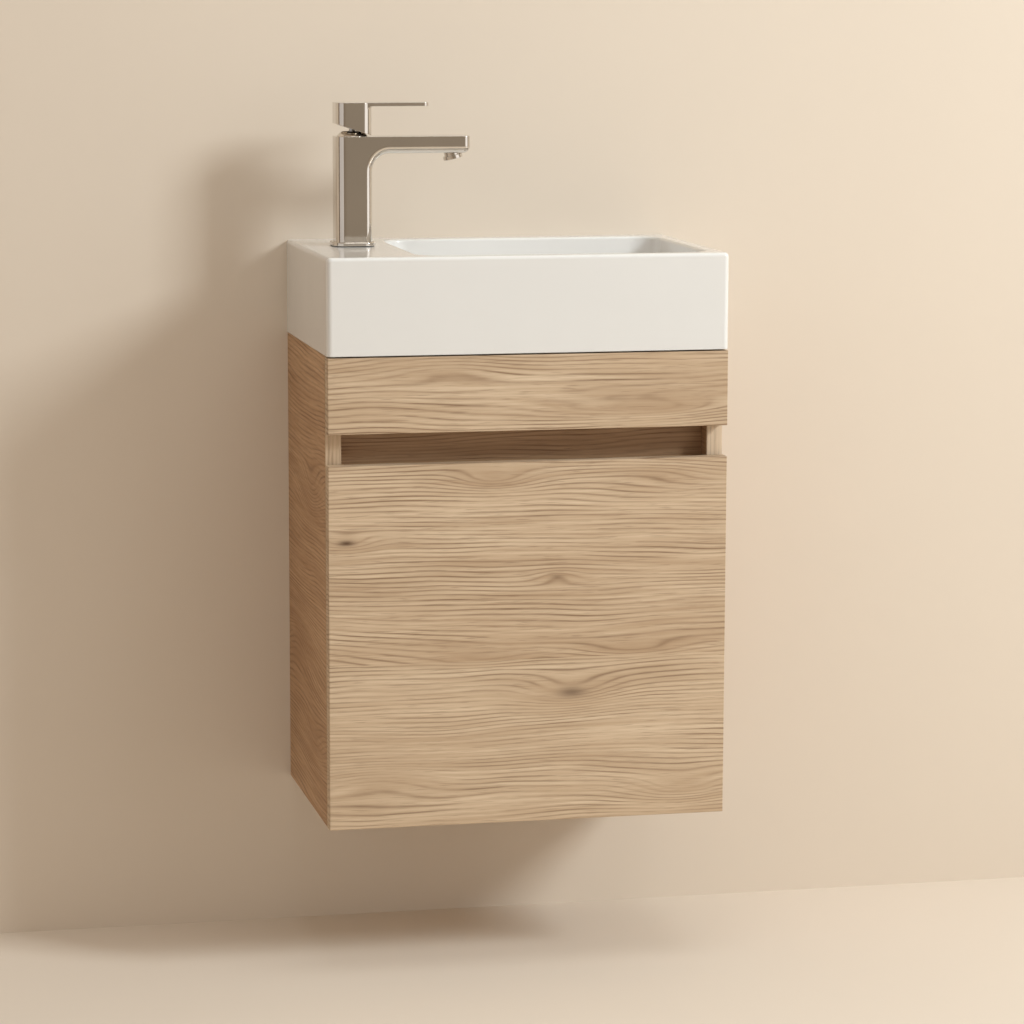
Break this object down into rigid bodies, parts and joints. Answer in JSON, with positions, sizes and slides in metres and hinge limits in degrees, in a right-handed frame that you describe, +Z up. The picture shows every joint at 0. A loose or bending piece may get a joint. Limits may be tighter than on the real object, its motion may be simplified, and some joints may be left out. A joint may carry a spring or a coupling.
{
  "type": "wall-hung vanity unit",
  "caption": "Compact wall-hung vanity: oak-effect cabinet with a door under a finger gap, ceramic basin with an offset bowl, and a square lever tap on the side ledge.",
  "frame": {"origin": "centre of the four wall screws, on the wall's face", "axes": "+X to the right seen from the room, +Y from the room to the wall, +Z up"},
  "size_m": [0.4, 0.275, 0.7035],
  "materials": {
    "oak_board": "satin",
    "glaze": "gloss",
    "chrome": "polished",
    "steel": "satin",
    "white_plastic": "gloss",
    "grey_plastic": "matt",
    "rubber": "matt",
    "brass": "satin",
    "disc_ceramic": "matt",
    "beech": "matt"
  },
  "bodies": {
    "cabinet": {"aerator_housing": "chrome", "aerator_insert": "grey_plastic", "arm_screws": "steel", "back_rail_bottom": "oak_board", "back_rail_top": "oak_board", "basin": "glaze", "bottom_panel": "oak_board", "cam_bolts": "steel", "cam_locks": "steel", "cartridge_housing": "white_plastic", "cartridge_nut": "brass", "dowels": "beech", "fascia_brackets": "steel", "fixed_disc": "disc_ceramic", "front_fascia": "oak_board", "hanger_adjusters": "steel", "hanger_boxes": "steel", "hanger_hooks": "steel", "hinge_arm_lower": "steel", "hinge_arm_upper": "steel", "hinge_plates": "steel", "recess_rail": "oak_board", "shelf": "oak_board", "shelf_pins": "steel", "side_panel_left": "oak_board", "side_panel_right": "oak_board", "tap_base_ring": "chrome", "tap_base_seal": "rubber", "tap_body": "chrome", "tap_clamp": "steel", "tap_collar": "chrome", "tap_nut": "brass", "tap_stud": "steel", "tap_washer": "rubber", "trap_cup": "white_plastic", "trap_head": "white_plastic", "trap_inlet_tube": "white_plastic", "trap_outlet_pipe": "white_plastic", "union_nuts": "white_plastic", "wall_plates": "steel", "wall_rosette": "white_plastic", "waste_body": "chrome", "waste_nut": "white_plastic", "waste_seals": "rubber", "wood_screws": "steel"},
    "door": {"door_panel": "oak_board", "hinge_cup_upper": "steel", "hinge_cup_lower": "steel", "hinge_pins": "steel", "cup_screws": "steel", "door_bumpers": "rubber"},
    "tap_swivel": {"cartridge_carrier": "white_plastic", "lever_pin": "steel"},
    "tap_lever": {"tap_stem": "steel", "tap_handle": "chrome", "grub_screw": "steel", "index_plug": "grey_plastic"},
    "tap_disc": {"moving_disc": "disc_ceramic"},
    "plug": {"waste_plug": "chrome"}
  },
  "joints": [
    {"name": "door_hinge", "type": "hinge", "parent": "cabinet", "child": "door", "pos_m": [0.193, -0.243, -0.24125], "axis": [0, 0, 1], "range_deg": [0, 95]},
    {"name": "tap_swivel", "type": "hinge", "parent": "cabinet", "child": "tap_swivel", "pos_m": [-0.148, -0.094, 0.238], "axis": [0, 0, 1], "range_deg": [-45, 45]},
    {"name": "tap_lift", "type": "hinge", "parent": "tap_swivel", "child": "tap_lever", "pos_m": [-0.148, -0.094, 0.238], "axis": [0, -1, 0], "range_deg": [0, 18]},
    {"name": "tap_disc_slide", "type": "slide", "parent": "tap_swivel", "child": "tap_disc", "axis": [1, 0, 0], "range_m": [0, 0.0032]},
    {"name": "waste_plug", "type": "slide", "parent": "cabinet", "child": "plug", "axis": [0, 0, 1], "range_m": [0, 0.008]}
  ],
  "couplings": [
    {"joint": "tap_disc_slide", "follows": "tap_lift", "m_per_rad": 0.01}
  ]
}
